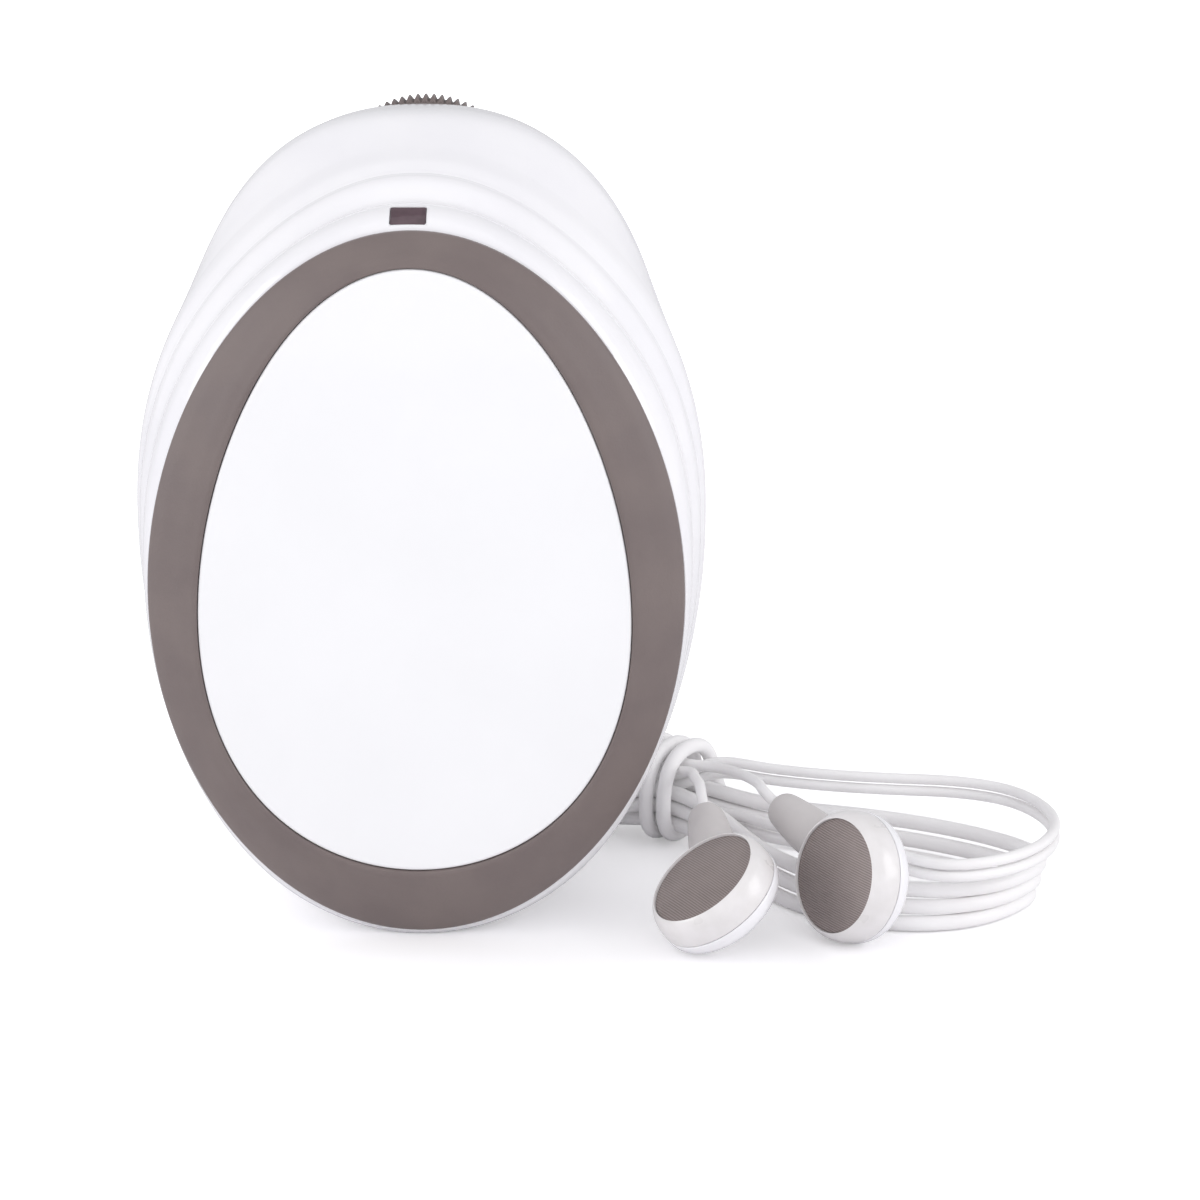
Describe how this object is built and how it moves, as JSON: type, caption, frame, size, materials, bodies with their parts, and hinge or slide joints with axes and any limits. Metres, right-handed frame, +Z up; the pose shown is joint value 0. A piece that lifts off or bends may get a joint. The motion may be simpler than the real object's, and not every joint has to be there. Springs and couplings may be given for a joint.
{
  "type": "fetal doppler monitor",
  "caption": "Egg-shaped hand-held fetal doppler monitor with a toothed volume wheel, a rear transducer pad, a sliding battery door and wired earbuds hanked beside it.",
  "frame": {"origin": "on the surface the monitor stands on, under the middle of its bounding box; the earphones beside it are left out of that box", "axes": "+X to the right as seen from the face, +Y from the face to the transducer at the back, +Z up through the volume wheel"},
  "size_m": [0.1167, 0.0872, 0.1012],
  "materials": {
    "shell_gloss": "gloss",
    "panel_gloss": "high gloss",
    "taupe_satin": "satin soft touch",
    "lens_dark": "gloss, smoked",
    "screw_steel": "zinc plated",
    "black_plastic": "matte",
    "circuit_board": "solder resist over glass epoxy",
    "led_clear": "clear epoxy",
    "pad_satin": "satin",
    "ceramic": "fired ceramic, silvered",
    "soft_rubber": "matte",
    "cell_jacket": "semi gloss",
    "contact_nickel": "nickel plated",
    "bud_pearl": "pearl",
    "bud_white": "gloss",
    "grille_taupe": "fine woven mesh",
    "boot_rubber": "matte",
    "lead_white": "satin",
    "plug_metal": "polished"
  },
  "bodies": {
    "housing": {"front_shell": "shell_gloss", "rear_shell": "shell_gloss", "trim_ring": "taupe_satin", "front_panel": "panel_gloss", "indicator_window": "lens_dark", "pot_body": "black_plastic", "main_board": "circuit_board", "control_chip": "black_plastic", "amplifier_chip": "black_plastic", "quartz_crystal": "screw_steel", "capacitors": "black_plastic", "indicator_led": "led_clear", "transducer_face": "pad_satin", "transducer_cup": "shell_gloss", "transmit_crystal": "ceramic", "receive_crystal": "ceramic", "backing_block": "soft_rubber", "seal_ring": "soft_rubber", "transducer_lead": "soft_rubber", "battery_upper": "cell_jacket", "battery_lower": "cell_jacket", "contact_springs": "contact_nickel", "contact_plates": "contact_nickel", "case_screws": "screw_steel", "earphone_socket": "black_plastic"},
    "wheel": {"volume_wheel": "taupe_satin", "wheel_screw": "screw_steel"},
    "door": {"battery_cover": "shell_gloss"},
    "earphones": {"bud_left_front": "bud_pearl", "bud_left_grille": "grille_taupe", "bud_left_rear": "bud_white", "bud_left_driver": "contact_nickel", "bud_left_boot": "boot_rubber", "bud_right_front": "bud_pearl", "bud_right_grille": "grille_taupe", "bud_right_rear": "bud_white", "bud_right_driver": "contact_nickel", "bud_right_boot": "boot_rubber", "branch_left": "lead_white", "branch_right": "lead_white", "y_splitter": "boot_rubber", "lead_hank": "lead_white", "lead_wrap": "lead_white", "lead_tail": "lead_white", "plug_grip": "boot_rubber", "plug_tip": "plug_metal"}
  },
  "joints": [
    {"name": "volume_turn", "type": "hinge", "parent": "housing", "child": "wheel", "pos_m": [0, 0.01425, 0.0887], "axis": [0, 1, 0], "range_deg": [0, 280]},
    {"name": "door_slide", "type": "slide", "parent": "housing", "child": "door", "axis": [1, 0, 0], "range_m": [0, 0.046]},
    {"name": "earphones_draw", "type": "slide", "parent": "housing", "child": "earphones", "axis": [1, 0, 0], "range_m": [0, 0.08]}
  ]
}
